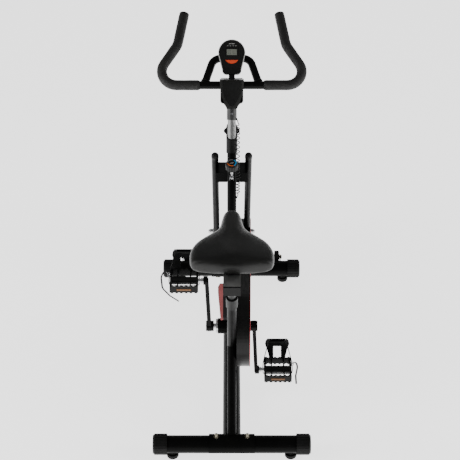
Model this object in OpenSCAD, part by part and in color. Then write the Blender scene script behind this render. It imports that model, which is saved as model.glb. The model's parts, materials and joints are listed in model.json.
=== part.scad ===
// Indoor exercise bike, millimetres. +Y points to the front (the flywheel end), +X to the rider's
// right and +Z up. The origin is on the floor, under the middle of the whole bike.

/* [Base] */
// Distance between the centres of the two stabilizer tubes
wheelbase = 900; // [890:910]
// Overall width of each stabilizer with its end caps
stabilizer_width = 500; // [480:520]
// Diameter of the stabilizer tubes and of the base tube
base_tube_d = 57; // [55:58]
// Height of the stabilizer tubes' centres above the floor
stabilizer_z = 51; // [50:53]

/* [Frame] */
// Distance of the crank axle ahead of the rear stabilizer
crank_y = 285; // [280:290]
// Height of the crank axle
crank_z = 300; // [296:304]
// Forward lean of the front upright from vertical, degrees
upright_lean = 25.6; // [25:0.1:26.2]
// Backward lean of the seat tube from vertical, degrees
seat_lean = 20.3; // [19.8:0.1:20.8]
// Width of the flat-oval frame tubes, across the bike
oval_w = 29; // [28:30]
// Depth of the flat-oval frame tubes
oval_d = 60; // [58:62]

/* [Drive] */
// Distance of the flywheel axle ahead of the rear stabilizer
axle_y = 815; // [810:820]
// Height of the flywheel axle
axle_z = 285; // [280:290]
// Flywheel diameter
flywheel_d = 380; // [360:390]
// Flywheel rim thickness
flywheel_w = 24; // [18:26]
// Crank arm length, axle to pedal
crank_len = 170; // [165:172]
// Crank angle ahead of vertical, degrees
crank_angle = 8; // [0:15]
// Chainring teeth
ring_teeth = 44; // [40:46]
// Flywheel sprocket teeth
sprocket_teeth = 15; // [13:16]

/* [Pedals] */
// Width of a pedal body
pedal_w = 90; // [86:94]
// Length of a pedal body, front to back
pedal_l = 94; // [88:98]
// Distance of each pedal's middle from the bike's middle plane
pedal_x = 151; // [150:154]

/* [Handlebar] */
// Handlebar tube diameter
bar_d = 25.4; // [25:0.1:25.6]
// Foam grip outer diameter
grip_d = 31.8; // [31:0.1:32]
// Length of handlebar post drawn above the crank axle, to the bar's centre
stem_reach = 776; // [770:780]

/* [Seat] */
// Height of the top of the seat track
track_z = 740; // [738:744]
// Width of the seat track
track_w = 50; // [48:52]
// Overall width of the saddle
saddle_w = 240; // [230:244]

/* [Hidden] */
$fn = 64;

wall = 2;            // steel tube wall
bolt_d = 8;          // all the larger bolts
slack = 0.3;         // gap between parts that slide on each other
track_rear = -64;    // rear end of the seat track, ahead of the rear stabilizer
rear_y = -(axle_y + flywheel_d / 2 + track_rear) / 2;

// A side-view point [y, z] from a distance ahead of the rear stabilizer and a height
function at(y, z) = [rear_y + y, z];
function unit(v) = v / norm(v);
function rim(c, r, a) = c + r * [cos(a), sin(a)];
function arc(c, r, a0, a1, n = 16) = [for (i = [0 : n]) rim(c, r, a0 + (a1 - a0) * i / n)];

crank = at(crank_y, crank_z);
axle = at(axle_y, axle_z);
rear_foot = at(0, stabilizer_z);
front_foot = at(wheelbase, stabilizer_z);
bracket_r = base_tube_d / 2 + 4.5;
upright_dir = [sin(upright_lean), cos(upright_lean)];
seat_dir = [-sin(seat_lean), cos(seat_lean)];
seat_foot = at(209, crank_z);     // where the seat tube crosses the crank's height
seat_top = 300;                   // length of seat tube above that point
collar_z = 862;                   // level rim of the upright's collar
clamp_t = 626;                    // handlebar clamp bolt, along the upright from the crank
cover_foot = 706;                 // foot of the stem covers, along the upright
cover_h = 90;
post_w = oval_w - 3.6;            // both telescoping posts
post_d = oval_d - 3.6;
fork_bottom = at(wheelbase, 70);
fork_top = at(530, 790);
fork_x = 53;
fork_d = 22;
plate_x = 58;                     // inner face of the axle plates
chain_x = 34;                     // chain line
guard_x = 15;                     // inner face of the chain guard
guard_split = 40;                 // where the guard's two shells meet
bolt_x = 49;                      // stabilizer bolts from the middle plane
wheel_x = 167;
wheel_hub = at(wheelbase + 53, stabilizer_z + 13);
wheel_r = 23;
brake_pivot = at(600, 108);
bar = crank + stem_reach * upright_dir;
tube_sides = 20;                  // facets round a bent tube
bend_steps = 6;                   // facets along each of its bends

// Shape helpers

// Draws children in the side view (Y to the right, Z up) and gives them a width in X
module side(x0, x1) translate([x0, 0, 0]) rotate([90, 0, 90]) linear_extrude(x1 - x0) children();

// Draws children as seen from behind (X to the right, Z up) and stretches them along Y
module lengthwise(y0, y1) translate([0, y1, 0]) rotate([90, 0, 0]) linear_extrude(y1 - y0) children();

// A round bar across the bike
module cross_bar(c, d, x0, x1) translate([x0, c[0], c[1]]) rotate([0, 90, 0]) cylinder(h = x1 - x0, d = d);

// Places children with their Z along the line from a to b in the side view
module along(a, b, x = 0)
    translate([x, a[0], a[1]]) rotate([-atan2(b[0] - a[0], b[1] - a[1]), 0, 0]) children();

module on_upright(t = 0) along(crank + t * upright_dir, crank + (t + 1) * upright_dir) children();
module on_seat(s = 0) along(seat_foot + s * seat_dir, seat_foot + (s + 1) * seat_dir) children();
module on_leg(x) along(fork_bottom, fork_top, x) children();
module both_sides() for (s = [-1, 1]) scale([s, 1, 1]) children();
module mirrored(flip) if (flip) mirror([1, 0, 0]) children(); else children();

// Flat-oval tube section, its long side along local Y
module oval(w, d) polygon(concat(arc([0, (d - w) / 2], w / 2, 0, 180), arc([0, (w - d) / 2], w / 2, 180, 360)));

// Outline of a belt round two discs
module belt(c1, r1, c2, r2) {
    heading = atan2(c2[1] - c1[1], c2[0] - c1[0]);
    spread = acos((r1 - r2) / norm(c2 - c1));
    polygon(concat(arc(c1, r1, heading + spread, heading + 360 - spread, 40),
        arc(c2, r2, heading - spread, heading + spread, 24)));
}

// Toothed wheel outline
module teeth(n, root, tip)
    polygon([for (i = [0 : 4 * n - 1]) rim([0, 0], i % 4 < 2 ? root : tip, 360 * (i + 0.5) / (4 * n))]);

// Grip outline with shallow lobes
module lobes(r, n, depth) polygon([for (a = [0 : 4 : 356]) (r + depth * cos(n * a)) * [cos(a), sin(a)]]);

// Round bar from one point to another
module rod(a, b, d) {
    v = b - a;
    translate(a) rotate([0, acos(v[2] / norm(v)), atan2(v[1], v[0])]) cylinder(h = norm(v), d = d);
}

// The points of a path whose corners p are rounded to the radii r
function rounded(p, r) = [for (i = [0 : len(p) - 1]) each i == 0 || i == len(p) - 1 ? [p[i]]
    : let (u = unit(p[i] - p[i - 1]), v = unit(p[i + 1] - p[i]), turn = acos(u * v),
        w = unit(v - (v * u) * u), c = p[i] - r[i] * tan(turn / 2) * u + r[i] * w)
        [for (k = [0 : bend_steps]) c + r[i] * (sin(turn * k / bend_steps) * u - cos(turn * k / bend_steps) * w)]];

// Ring i of a tube along a path; level is a direction the path never points in
function tube_ring(path, i, d, level) =
    let (t = unit(path[min(i + 1, len(path) - 1)] - path[max(i - 1, 0)]), w = unit(cross(t, level)), v = cross(w, t))
    [for (j = [0 : tube_sides - 1]) path[i] + d / 2 * rim([0, 0], 1, 360 * j / tube_sides) * [w, v]];

// Round tube along a path
module bent_tube(path, d, bore, level = [0, -0.58, 0.81]) {
    n = tube_sides;
    last = len(path) - 1;
    inner = n * (last + 1);
    polyhedron(
        [for (r = [d, bore], i = [0 : last]) each tube_ring(path, i, r, level)],
        [for (j = [0 : n - 1]) let (k = (j + 1) % n) each concat(
            [for (i = [0 : last - 1]) each [[n * i + j, n * i + k, n * i + n + j],
                [n * i + k, n * i + n + k, n * i + n + j]]],
            [for (i = [0 : last - 1]) each [[inner + n * i + k, inner + n * i + j, inner + n * i + n + j],
                [inner + n * i + n + k, inner + n * i + k, inner + n * i + n + j]]],
            [[k, j, inner + j], [inner + k, k, inner + j],
                [n * last + j, n * last + k, inner + n * last + j],
                [n * last + k, inner + n * last + k, inner + n * last + j]])]);
}

// Frame

// Outer shapes of the two leaning tubes; extra widens one when it is used as a cutter
module seat_tube_outer(extra = 1) on_seat(-260) linear_extrude(260 + seat_top) oval(oval_w + extra, oval_d);
module upright_outer(extra = 1) on_upright(-82) linear_extrude(762) oval(oval_w + extra, oval_d);

module base_tube() color("#141416") difference() {
    union() {
        lengthwise(rear_foot[0], front_foot[0]) translate([0, stabilizer_z]) difference() {
            circle(d = base_tube_d);
            circle(d = base_tube_d - 2 * wall);
        }
        for (s = [-1, 1]) difference() {
            side(s * 10.5 - 1.5, s * 10.5 + 1.5) belt(brake_pivot, 11, brake_pivot - [0, 40], 16);
            lengthwise(rear_foot[0], front_foot[0]) translate([0, stabilizer_z]) circle(d = base_tube_d);
        }
    }
    for (c = [rear_foot, front_foot]) cross_bar(c, 2 * bracket_r, -60, 60);
    cross_bar(brake_pivot, bolt_d, -20, 20);
}

module rear_strut() color("#141416") difference() {
    along(at(30, 66), seat_foot) linear_extrude(norm(seat_foot - at(30, 66)) - 4) difference() {
        oval(oval_w, oval_d);
        oval(oval_w - 2 * wall, oval_d - 2 * wall);
    }
    cross_bar(rear_foot, 2 * bracket_r, -60, 60);
    lengthwise(rear_foot[0], front_foot[0]) translate([0, stabilizer_z]) circle(d = base_tube_d);
    seat_tube_outer();
}

module seat_tube() color("#141416") difference() {
    seat_tube_outer(0);
    on_seat(-230) linear_extrude(seat_top + 231) oval(oval_w - 3, oval_d - 3);
    lengthwise(rear_foot[0], front_foot[0]) translate([0, stabilizer_z]) circle(d = base_tube_d);
    on_seat(270) rotate([-90, 0, 0]) cylinder(h = 60, d = bolt_d + 1);
}

module upright_tube() color("#141416") difference() {
    upright_outer(0);
    on_upright(-120) linear_extrude(900) oval(oval_w - 3, oval_d - 3);
    seat_tube_outer();
    cross_bar(crank, 50, -60, 60);
    translate([-50, crank[0], collar_z - 5]) cube([100, 500, 200]);
    on_upright(clamp_t) rotate([-90, 0, 0]) cylinder(h = 60, d = bolt_d + 1);
}

module crank_shell() color("#141416") difference() {
    cross_bar(crank, 50, -45, 25);
    cross_bar(crank, 40, -46, 26);
}

module bearing_cups() color("silver") for (s = [0, 1]) difference() {
    union() {
        cross_bar(crank, 46, s == 0 ? -51 : 25, s == 0 ? -45 : 29);
        cross_bar(crank, 40, s == 0 ? -45 : 9, s == 0 ? -29 : 25);
    }
    cross_bar(crank, 17.1, -60, 60);
}

module fork_legs() color("#141416") for (s = [-1, 1]) difference() {
    union() {
        on_leg(s * fork_x) cylinder(h = norm(fork_top - fork_bottom), d = fork_d);
        side(s > 0 ? plate_x : -plate_x - 6, s > 0 ? plate_x + 6 : -plate_x)
            belt(axle, 17, at(axle_y - 27, axle_z + 8), 10);
    }
    on_leg(s * fork_x) translate([0, 0, 2]) cylinder(h = 900, d = fork_d - 2 * wall);
    cross_bar(front_foot, 2 * bracket_r, -80, 80);
    cross_bar(axle, 12.2, -80, 80);
}

module fork_caps() color("#1b1b1d") for (s = [-1, 1])
    on_leg(s * fork_x) translate([0, 0, norm(fork_top - fork_bottom)]) {
        translate([0, 0, -12]) cylinder(h = 12, d = fork_d - 2 * wall);
        cylinder(h = 8, d = 24);
        translate([0, 0, 8]) intersection() {
            sphere(d = 24);
            cylinder(h = 12, d = 24);
        }
    }

module cross_member() color("#141416") difference() {
    side(-50, 50) polygon([at(500, 715), at(556, 715), at(562, 721), at(562, 750), at(500, 750)]);
    upright_outer();
    for (s = [-1, 1]) on_leg(s * fork_x) cylinder(h = 900, d = fork_d);
}

module flywheel_axle() color("silver") {
    cross_bar(axle, 12, -76, 76);
    for (s = [-1, 1]) {
        difference() {
            cross_bar(axle, 20, s > 0 ? 38.5 : -plate_x, s > 0 ? plate_x : -38.5);
            cross_bar(axle, 12, -80, 80);
        }
        difference() {
            union() {
                cross_bar(axle, 24, s > 0 ? plate_x + 6 : -plate_x - 8, s > 0 ? plate_x + 8 : -plate_x - 6);
                translate([s > 0 ? plate_x + 8 : -plate_x - 17, axle[0], axle[1]])
                    rotate([0, 90, 0]) cylinder(h = 9, d = 21, $fn = 6);
                translate([s * (plate_x + 17), axle[0], axle[1]]) sphere(d = 16);
            }
            cross_bar(axle, 12, -76, 76);
        }
    }
}

// Stabilizers and feet

// The two bolts of a stabilizer; the front pair leans forward, clear of the fork legs
module at_bolts(c) for (s = [-1, 1])
    translate([s * bolt_x, c[0], c[1]]) rotate([c[0] > 0 ? -35 : 0, 0, 0]) children();

module stabilizer_tube(c) difference() {
    cross_bar(c, base_tube_d, -stabilizer_width / 2 + 45, stabilizer_width / 2 - 45);
    cross_bar(c, base_tube_d - 2 * wall, -stabilizer_width, stabilizer_width);
    at_bolts(c) translate([0, 0, -60]) cylinder(h = 120, d = bolt_d + 0.6);
}

module rear_stabilizer() color("#141416") stabilizer_tube(rear_foot);

module front_stabilizer() color("#141416") {
    difference() {
        union() {
            stabilizer_tube(front_foot);
            for (s = [-1, 1], e = [-1, 1]) difference() {
                side(s * wheel_x + e * 12.5 - 1.5, s * wheel_x + e * 12.5 + 1.5)
                    belt(front_foot, 18, wheel_hub, 10);
                cross_bar(front_foot, base_tube_d - 1, -300, 300);
            }
        }
        for (s = [-1, 1]) cross_bar(wheel_hub, bolt_d, s * wheel_x - 30, s * wheel_x + 30);
    }
}

module stabilizer_caps() color("#1b1b1d") for (c = [rear_foot, front_foot], s = [0, 1])
    translate([0, c[0], c[1]]) mirrored(s == 1) {
        translate([stabilizer_width / 2 - 45, 0, 0]) rotate([0, 90, 0]) linear_extrude(40) union() {
            circle(d = 65);
            for (a = [0 : 15 : 345]) rotate(a) translate([0, -2]) square([33.7, 4]);
        }
        translate([stabilizer_width / 2 - 5, 0, 0]) rotate([0, 90, 0]) cylinder(h = 5, d1 = 65, d2 = 57);
        translate([stabilizer_width / 2 - 60, 0, 0]) rotate([0, 90, 0]) cylinder(h = 15, d = base_tube_d - 2 * wall);
    }

// Half-wrapped plate that a stabilizer is bolted up into; facing is 1 where the base tube leaves towards +Y
module bracket(c, facing) difference() {
    cross_bar(c, 2 * bracket_r, -72.5, 72.5);
    cross_bar(c, base_tube_d, -80, 80);
    side(-80, 80) polygon(concat([c], [for (a = [-165 : 27 : -30]) c + 60 * [facing * cos(a), sin(a)]]));
    at_bolts(c) cylinder(h = 60, d = bolt_d + 0.6);
}

module stabilizer_brackets() color("#141416") {
    bracket(rear_foot, 1);
    bracket(front_foot, -1);
}

// Carriage bolt up through a stabilizer, with its acorn nut on top
module carriage_bolt() {
    translate([0, 0, -base_tube_d / 2 - 4]) cylinder(h = 4, d = 18);
    translate([0, 0, -base_tube_d / 2]) cylinder(h = base_tube_d + 9, d = bolt_d);
    translate([0, 0, bracket_r]) cylinder(h = 2, d = 17);
    translate([0, 0, bracket_r + 2]) cylinder(h = 7, d = 15, $fn = 6);
    translate([0, 0, bracket_r + 9]) sphere(d = 11);
}

module base_bolts() color("#b9ab82") {
    for (c = [rear_foot, front_foot]) at_bolts(c) carriage_bolt();
    for (s = [-1, 1]) {
        cross_bar(wheel_hub, bolt_d, s * wheel_x - 18, s * wheel_x + 18);
        for (e = [-1, 1]) cross_bar(wheel_hub, 14, s * wheel_x + e * 16.5 - 2.5, s * wheel_x + e * 16.5 + 2.5);
    }
    cross_bar(brake_pivot, bolt_d, -12, 12);
    for (s = [-1, 1]) cross_bar(brake_pivot, 14, s * 14 - 2, s * 14 + 2);
}

module rubber_feet() color("#1b1b1d") for (c = [rear_foot, front_foot], s = [-1, 1]) difference() {
    translate([s * 188, c[0], 0]) {
        cylinder(h = 3, d1 = 35, d2 = 38);
        translate([0, 0, 3]) cylinder(h = 11, d = 38);
        cylinder(h = 34, d = 24);
    }
    cross_bar(c, base_tube_d, -300, 300);
}

module transport_wheel(flip) color("#1b1b1d") mirrored(flip) difference() {
    union() {
        cross_bar(wheel_hub, 2 * wheel_r - 3, wheel_x - 8.5, wheel_x + 8.5);
        cross_bar(wheel_hub, 2 * wheel_r, wheel_x - 7, wheel_x + 7);
        cross_bar(wheel_hub, 18, wheel_x - 10, wheel_x + 10);
    }
    cross_bar(wheel_hub, bolt_d + 0.1, 0, 300);
}

// Drive

function pitch_r(n) = 12.7 / (2 * sin(180 / n));

module crank_spindle() color("silver") cross_bar(crank, 17, -82, 82);

function pedal_axis(flip) = crank + (flip ? 1 : -1) * crank_len * [sin(crank_angle), cos(crank_angle)];

// One crank arm with its hub, drawn on the right; boss_x is where the hub starts
module crank_arm(flip, boss_x) {
    end = pedal_axis(flip);
    difference() {
        union() {
            cross_bar(crank, 34, boss_x, 83);
            cross_bar(end, 28, 76, 90);
            translate([0, crank[0], crank[1]]) rotate([-crank_angle + (flip ? 0 : 180), 0, 0])
                rotate([0, 2.6, 0]) translate([0, -crank[0], -crank[1]])
                    side(66, 78) belt(crank, 15, crank + [0, crank_len], 11.5);
        }
        cross_bar(crank, 17, 0, 100);
        cross_bar(end, 14, 0, 120);
    }
}

module crank_left() color("#1b1b1d") mirror([1, 0, 0]) crank_arm(true, 58);
module crank_right() color("#1b1b1d") crank_arm(false, 36);

module chainring() color("#555555") translate([chain_x - 2, crank[0], crank[1]]) rotate([90, 0, 90])
    linear_extrude(4) difference() {
        teeth(ring_teeth, pitch_r(ring_teeth) - 7.5, pitch_r(ring_teeth) - 4.4);
        circle(d = 17);
        for (a = [36 : 72 : 324]) rotate(a) translate([50, 0]) circle(d = 34);
    }

module sprocket() color("#777777") difference() {
    translate([chain_x - 2, axle[0], axle[1]]) rotate([90, 0, 90])
        linear_extrude(4) teeth(sprocket_teeth, pitch_r(sprocket_teeth) - 7.5, pitch_r(sprocket_teeth) - 4.4);
    cross_bar(axle, 26, 0, 60);
}

module chain() color("#3a3a3a") side(chain_x - 3.5, chain_x + 3.5) difference() {
    belt(crank, pitch_r(ring_teeth) + 3.9, axle, pitch_r(sprocket_teeth) + 3.9);
    belt(crank, pitch_r(ring_teeth) - 3.9, axle, pitch_r(sprocket_teeth) - 3.9);
}

module flywheel() color("#8d8f92") difference() {
    union() {
        difference() {
            cross_bar(axle, flywheel_d, -flywheel_w / 2, flywheel_w / 2);
            for (s = [-1, 1]) cross_bar(axle, flywheel_d - 56, s > 0 ? 5 : -20, s > 0 ? 20 : -5);
        }
        cross_bar(axle, 60, -flywheel_w / 2 - 1, flywheel_w / 2 + 1);
        cross_bar(axle, 40, -38, 28);
        cross_bar(axle, 26, 28, 38);
    }
    cross_bar(axle, 12.1, -80, 80);
}

// Chain guard: two pans that meet face to face, the outer one wrapping the right fork leg
module guard_outline(inset) belt(crank, 130 - inset, axle, 46 - inset);

module guard_outer() color("#131314") difference() {
    side(guard_split, 72) guard_outline(0);
    difference() {
        side(guard_split - 1, 70) guard_outline(2.5);
        translate([60 - 2.5, crank[0], 0]) rotate([0, 0, -0.86]) translate([0, -300, 0]) cube([60, 1200, 700]);
    }
    translate([60, crank[0], 0]) rotate([0, 0, -0.86]) translate([0, -300, 0]) cube([60, 1200, 700]);
    cross_bar(crank, 42, 30, 90);
    cross_bar(axle, 28, 30, 90);
    on_leg(fork_x) cylinder(h = 900, d = fork_d + 3);
    side(plate_x - 1, plate_x + 7) belt(axle, 18.5, at(axle_y - 27, axle_z + 8), 11.5);
}

module guard_inner() color("#131314") difference() {
    side(guard_x, guard_split) guard_outline(0);
    side(guard_x + 2.5, guard_split + 1) guard_outline(2.5);
    cross_bar(crank, 52, 0, 30);
    cross_bar(axle, 46, 0, 30);
}

module left_cover() color("#8c1417") hull() {
    cross_bar(at(crank_y - 6, crank_z + 46), 26, -36, -oval_w / 2);
    cross_bar(at(crank_y + 26, crank_z + 128), 22, -44, -oval_w / 2);
    cross_bar(at(crank_y + 30, crank_z + 148), 6, -38, -oval_w / 2);
}

// Pedals, drawn on the right about their own axis and mirrored for the left

module pedal_spindles() color("silver") for (s = [0, 1]) mirrored(s == 1) {
    end = pedal_axis(s == 1);
    cross_bar(end, 14, 76, 188);
    difference() {
        cross_bar(end, 18, 90, 97);
        cross_bar(end, 14, 80, 120);
    }
}

module at_pedal(flip) mirrored(flip) translate([pedal_x, pedal_axis(flip)[0], pedal_axis(flip)[1]]) children();

module pedal_body() difference() {
    union() {
        rotate([0, 90, 0]) translate([0, 0, -pedal_w / 2]) cylinder(h = pedal_w, d = 25);
        for (s = [-1, 1]) {
            translate([-pedal_w / 2, s * (pedal_l / 2 - 3) - 3, -11]) cube([pedal_w, 6, 22]);
            translate([s * (pedal_w / 2 - 3.5) - 3.5, -pedal_l / 2, -9]) cube([7, pedal_l, 18]);
            translate([s * 20 - 2, -pedal_l / 2, -8]) cube([4, pedal_l, 16]);
            for (x = [-37.5 : 15 : 37.5], e = [-1, 1])
                translate([x - 4, s * (pedal_l / 2 - 3) - 3, e * 12 - 2]) cube([8, 6, 4]);
        }
    }
    rotate([0, 90, 0]) translate([0, 0, -pedal_w / 2 - 1]) cylinder(h = pedal_w - 4, d = 14.1);
}

module toe_cage() {
    path = [[47, -8], [64, -3], [86, 12], [97, 34], [93, 54], [78, 66], [58, 69]];
    inner = [[47, -4], [63, 0], [83, 14], [93.5, 34], [90, 52], [77, 62.5], [58, 65.5]];
    difference() {
        intersection() {
            side(-41, 41) polygon(concat(path, [for (i = [len(inner) - 1 : -1 : 0]) inner[i]]));
            lengthwise(-10, 120) polygon([[-25, -12], [25, -12], [28, 2], [40.5, 30], [38, 44], [22, 72],
                [-22, 72], [-38, 44], [-40.5, 30], [-28, 2]]);
        }
        translate([-12.5, 50, -10]) cube([25, 60, 34]);
    }
}

strap_loop = [[-46, 0], [46, 0], [48, 14], [46, 40], [26, 122], [-26, 122], [-46, 40], [-48, 14]];

module strap() {
    translate([0, 3.5, -21]) rotate([-39, 0, 0]) lengthwise(-8, 8) difference() {
        polygon([for (p = strap_loop) p * 1.04 - [0, 2]]);
        polygon(strap_loop);
    }
    translate([0, 3.5, -21]) rotate([-39, 0, 0]) translate([0, 0, 14])
        lengthwise(-8, 8) polygon([[49, 0], [56, 4], [62, -10], [65, -34], [63.5, -34], [60, -12], [55, 0], [50, -3]]);
}

module pedal_left() color("#1b1b1d") at_pedal(true) pedal_body();
module pedal_right() color("#1b1b1d") at_pedal(false) pedal_body();
module toe_cage_left() color("#1b1b1d") at_pedal(true) toe_cage();
module toe_cage_right() color("#1b1b1d") at_pedal(false) toe_cage();
module strap_left() color("#2a2a2c") at_pedal(true) strap();
module strap_right() color("#2a2a2c") at_pedal(false) strap();

// Brake and tension knob

// Stretch of a ring about the flywheel axle, behind and below it
module shoe(r0, r1, a0, a1, half) intersection() {
    difference() {
        cross_bar(axle, 2 * r1, -half, half);
        cross_bar(axle, 2 * r0, -half - 1, half + 1);
    }
    side(-half - 1, half + 1) polygon([axle, rim(axle, 300, a0), rim(axle, 300, (a0 + a1) / 2), rim(axle, 300, a1)]);
}

module brake_arm() color("#202022") difference() {
    union() {
        side(-5, 5) belt(brake_pivot, 11, rim(axle, flywheel_d / 2 + 22, 201), 8);
        cross_bar(brake_pivot, 22, -8.5, 8.5);
        shoe(flywheel_d / 2 + 14, flywheel_d / 2 + 19, 188, 214, 11);
    }
    cross_bar(brake_pivot, bolt_d + 0.1, -20, 20);
    cross_bar(axle, flywheel_d + 28, -30, 30);
}

module brake_pad() color("#7b6a4d") shoe(flywheel_d / 2 + 4, flywheel_d / 2 + 14, 190, 212, 11);

knob_top = at(445, 826);
knob_tilt = 12;
knob_dir = [-sin(knob_tilt), cos(knob_tilt)];

module on_knob(d) along(knob_top - d * knob_dir, knob_top) children();

module tension_knob() {
    color("#1b1b1d") on_knob(24) {
        linear_extrude(20) lobes(19, 18, 0.6);
        translate([0, 0, 20]) cylinder(h = 4, d1 = 38, d2 = 31);
    }
    color("silver") on_knob(70) {
        cylinder(h = 46, d = bolt_d);
        translate([0, 0, 30]) cylinder(h = 16, d1 = bolt_d, d2 = 15);
    }
}

module tension_bracket() color("silver") difference() {
    union() {
        for (s = [-1, 1]) side(s * 5.6 - 1, s * 5.6 + 1)
            polygon([knob_top - 52 * knob_dir + [-8, 0], knob_top - 52 * knob_dir + [60, 6],
                knob_top - 88 * knob_dir + [60, 0], knob_top - 76 * knob_dir + [-4, 0]]);
        on_knob(62) translate([-6.6, -8, 0]) cube([13.2, 40, 3]);
    }
    upright_outer();
    on_knob(90) cylinder(h = 60, d = bolt_d + 0.1);
}

// Curly sensor cord beside the upright, as the outer shape of its coil
module sensor_cord() color("#161617") on_upright(425)
    translate([oval_w / 2 + 5, -oval_d / 2 - 1, 0]) cylinder(h = 245, d = 13);

// Clamping knob on a boss, its axis along local +Y; reach is where the boss ends
module side_knob(reach) rotate([-90, 0, 0]) {
    translate([0, 0, post_d / 2 + slack]) cylinder(h = reach - post_d / 2 + 3, d = bolt_d);
    translate([0, 0, reach + 0.5]) cylinder(h = 5, d = 20);
    translate([0, 0, reach + 4]) linear_extrude(15) lobes(23, 6, 2.5);
    translate([0, 0, reach + 19]) cylinder(h = 3, d1 = 36, d2 = 28);
}

boss_reach = oval_d / 2 + 14;

module tube_collars() color("#1b1b1d") {
    difference() {
        union() {
            on_upright(566) linear_extrude(110) oval(oval_w + 6, oval_d + 6);
            on_upright(clamp_t) rotate([-90, 0, 0]) cylinder(h = boss_reach, d = 22);
        }
        on_upright(500) linear_extrude(300) oval(post_w + 2 * slack, post_d + 2 * slack);
        intersection() {
            upright_outer();
            translate([-60, crank[0], 0]) cube([120, 600, collar_z - 5]);
        }
        translate([-60, crank[0], collar_z]) cube([120, 600, 200]);
        on_upright(clamp_t) rotate([-90, 0, 0]) cylinder(h = 80, d = bolt_d + 0.1);
    }
    difference() {
        union() {
            on_seat(seat_top - 44) linear_extrude(52) oval(oval_w + 7, oval_d + 7);
            on_seat(270) rotate([-90, 0, 0]) cylinder(h = boss_reach, d = 22);
        }
        seat_tube_outer();
        on_seat(0) linear_extrude(seat_top + 60) oval(post_w + 2 * slack, post_d + 2 * slack);
        on_seat(270) rotate([-90, 0, 0]) cylinder(h = 80, d = bolt_d + 0.1);
    }
}

module handlebar_knob() color("#1b1b1d") on_upright(clamp_t) side_knob(boss_reach);
module seat_knob() color("#1b1b1d") on_seat(270) side_knob(boss_reach);

// Handlebar and stem

module handlebar_post() color("#c4c6c8") difference() {
    on_upright(430) linear_extrude(stem_reach - 430) difference() {
        oval(post_w, post_d);
        oval(post_w - 4, post_d - 4);
    }
    cross_bar(bar, bar_d, -60, 60);
    on_upright(stem_reach - 2) translate([-40, -60, 0]) cube([80, 120, 60]);
}

module handlebar_sleeve() color("#1b1b1d") on_upright(670) linear_extrude(cover_foot - 670) difference() {
    oval(31, 62);
    oval(post_w, post_d);
}

// Half width of the rear stem cover at the height u, from 0 at its foot to 1 at its top
function shield(u) = 15.8 + 21.7 * (1 - pow(1 - u, 2.2));

module stem_cover_rear() color("#1b1b1d") difference() {
    on_upright(cover_foot) rotate([90, 0, 0]) {
        outline = [for (i = [0 : 12]) [shield(i / 12), cover_h * i / 12]];
        linear_extrude(36) polygon(concat(outline, [for (i = [12 : -1 : 0]) [-outline[i][0], outline[i][1]]]));
    }
    on_upright(cover_foot) rotate([90, 0, 0]) translate([0, 0, -1]) {
        outline = [for (i = [0 : 12]) [shield(i / 12) - 2.5, (cover_h - 5) * i / 12 + 2.5]];
        linear_extrude(34.5) polygon(concat(outline, [for (i = [12 : -1 : 0]) [-outline[i][0], outline[i][1]]]));
    }
    on_upright(cover_foot - 4) linear_extrude(30) oval(post_w, post_d);
    cross_bar(bar, bar_d, -60, 60);
}

module stem_cover_front() color("#1b1b1d") difference() {
    on_upright(cover_foot) rotate([90, 0, 0]) translate([0, 0, -32]) linear_extrude(32)
        polygon(concat(arc([26, 22], 10, -90, 0), arc([30, cover_h - 6], 6, 0, 90),
            arc([-30, cover_h - 6], 6, 90, 180), arc([-26, 22], 10, 180, 270), [[-16, 0], [16, 0]]));
    on_upright(cover_foot) rotate([90, 0, 0]) translate([0, 0, -29.5]) linear_extrude(30)
        polygon(concat(arc([24, 22], 9, -90, 0), arc([28, cover_h - 7], 5, 0, 90),
            arc([-28, cover_h - 7], 5, 90, 180), arc([-24, 22], 9, 180, 270), [[-14, 2], [14, 2]]));
    on_upright(cover_foot - 4) linear_extrude(30) oval(post_w, post_d);
    cross_bar(bar, bar_d, -60, 60);
}

// A point on the handlebar: x, then forward and up from the bar's centre
function hold(x, y, z) = [x, bar[0] + y, bar[1] + z];
bar_tip = hold(151.5, 210, 134.8);
bar_half = [hold(100, 0, 0), hold(257, 0, 0), hold(171, 110, 80), bar_tip];
bar_bends = [0, 46.5, 60, 0];
function flipped(p) = [-p[0], p[1], p[2]];
bar_path = concat([for (i = [3 : -1 : 1]) flipped(bar_half[i])], [for (i = [1 : 3]) bar_half[i]]);
loop_path = [hold(-86, 0, 0), hold(-57, 85, 47), hold(57, 85, 47), hold(86, 0, 0)];
bar_bore = bar_d - 3;

module handlebar() color("#101011") {
    bent_tube(rounded(bar_path, [for (i = [3, 2, 1, 1, 2, 3]) bar_bends[i]]), bar_d, bar_bore);
    bent_tube(rounded(loop_path, [0, 32, 32, 0]), bar_d - 0.8, bar_bore - 0.8);
}

module grips() color("#1a1a1b")
    for (s = [0, 1]) mirrored(s == 1) bent_tube(rounded(bar_half, bar_bends), grip_d, bar_d + 0.04);

module bar_plugs() color("#1b1b1d") for (s = [0, 1]) mirrored(s == 1) {
    u = unit(bar_tip - bar_half[2]);
    rod(bar_tip - 18 * u, bar_tip + u, bar_bore - 0.4);
    rod(bar_tip, bar_tip + 3 * u, grip_d - 0.5);
}

// Computer, facing the rider: local Z up the face and -Y out of it

console = at(683, 1063);
console_lean = 36.7;
lcd = [32, 18.5];
module on_console() translate([0, console[0], console[1]]) rotate([-console_lean, 0, 0]) children();
module as_face(y0, y1) lengthwise(y0, y1) children();

module console_outline(inset) polygon(concat(arc([0, 12.5], 42.2 - inset, 0, 180, 32),
    arc([-16, -40], 14 - inset, 180, 270), arc([16, -40], 14 - inset, 270, 360)));

module crescent(grow) polygon(concat(arc([0, 2.7], 23.7 + grow, -147.6, -32.4, 20),
    [[20 + grow, -10 + grow], [-20 - grow, -10 + grow]]));

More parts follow.
